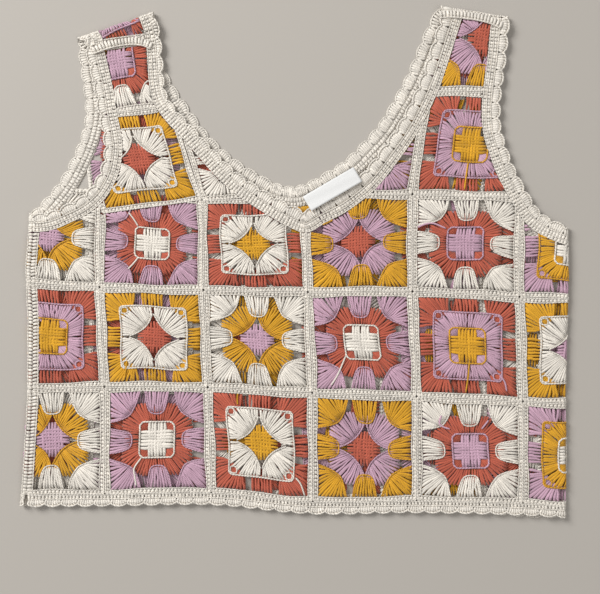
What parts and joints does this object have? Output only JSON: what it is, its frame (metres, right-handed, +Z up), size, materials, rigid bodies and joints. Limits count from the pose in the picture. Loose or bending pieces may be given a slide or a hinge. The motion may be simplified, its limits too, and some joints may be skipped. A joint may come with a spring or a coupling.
{
  "type": "crochet top",
  "caption": "Cropped sleeveless top of crocheted square motifs with scalloped edgings, laid flat with its front up.",
  "frame": {"origin": "middle of the bounding box's underside, on the surface that the top lies on", "axes": "+X across the width, towards the side that is on the right when seen from above; +Y from the hem towards the straps; +Z up, out of the front"},
  "size_m": [0.4495, 0.4196, 0.0071],
  "materials": {
    "cream_cotton": "matt crocheted cotton yarn",
    "terracotta_cotton": "matt crocheted cotton yarn",
    "gold_cotton": "matt crocheted cotton yarn",
    "lilac_cotton": "matt crocheted cotton yarn",
    "label_tape": "smooth woven tape, blank"
  },
  "bodies": {
    "root": {"front_hem_motif_1": "cream_cotton", "front_hem_motif_2": "lilac_cotton", "front_hem_motif_3": "terracotta_cotton", "front_hem_motif_4": "gold_cotton", "front_hem_motif_5": "cream_cotton", "front_hem_motif_6": "lilac_cotton", "front_middle_motif_1": "terracotta_cotton", "front_middle_motif_2": "gold_cotton", "front_middle_motif_3": "cream_cotton", "front_middle_motif_4": "lilac_cotton", "front_middle_motif_5": "terracotta_cotton", "front_middle_motif_6": "gold_cotton", "front_upper_motif_1": "cream_cotton", "front_upper_motif_2": "lilac_cotton", "front_upper_motif_3": "terracotta_cotton", "front_upper_motif_4": "gold_cotton", "front_upper_motif_5": "cream_cotton", "front_upper_motif_6": "lilac_cotton", "front_left_strap_motif": "gold_cotton", "front_right_strap_motif": "terracotta_cotton", "front_left_gore": "cream_cotton", "front_right_gore": "lilac_cotton", "front_left_shoulder_motif": "cream_cotton", "front_right_shoulder_motif": "gold_cotton", "front_neck_edging": "cream_cotton", "front_left_armhole_edging": "cream_cotton", "front_right_armhole_edging": "cream_cotton", "front_hem_edging": "cream_cotton", "back_hem_motif_1": "lilac_cotton", "back_hem_motif_2": "gold_cotton", "back_hem_motif_3": "cream_cotton", "back_hem_motif_4": "terracotta_cotton", "back_hem_motif_5": "lilac_cotton", "back_hem_motif_6": "cream_cotton", "back_middle_motif_1": "gold_cotton", "back_middle_motif_2": "terracotta_cotton", "back_middle_motif_3": "lilac_cotton", "back_middle_motif_4": "cream_cotton", "back_middle_motif_5": "gold_cotton", "back_middle_motif_6": "terracotta_cotton", "back_upper_motif_1": "lilac_cotton", "back_upper_motif_2": "cream_cotton", "back_upper_motif_3": "gold_cotton", "back_upper_motif_4": "terracotta_cotton", "back_upper_motif_5": "lilac_cotton", "back_upper_motif_6": "gold_cotton", "back_left_strap_motif": "gold_cotton", "back_right_strap_motif": "terracotta_cotton", "back_left_gore": "cream_cotton", "back_right_gore": "lilac_cotton", "back_left_shoulder_motif": "cream_cotton", "back_right_shoulder_motif": "gold_cotton", "back_neck_edging": "cream_cotton", "back_left_armhole_edging": "cream_cotton", "back_right_armhole_edging": "cream_cotton", "back_hem_edging": "cream_cotton", "neck_label": "label_tape"}
  },
  "joints": []
}
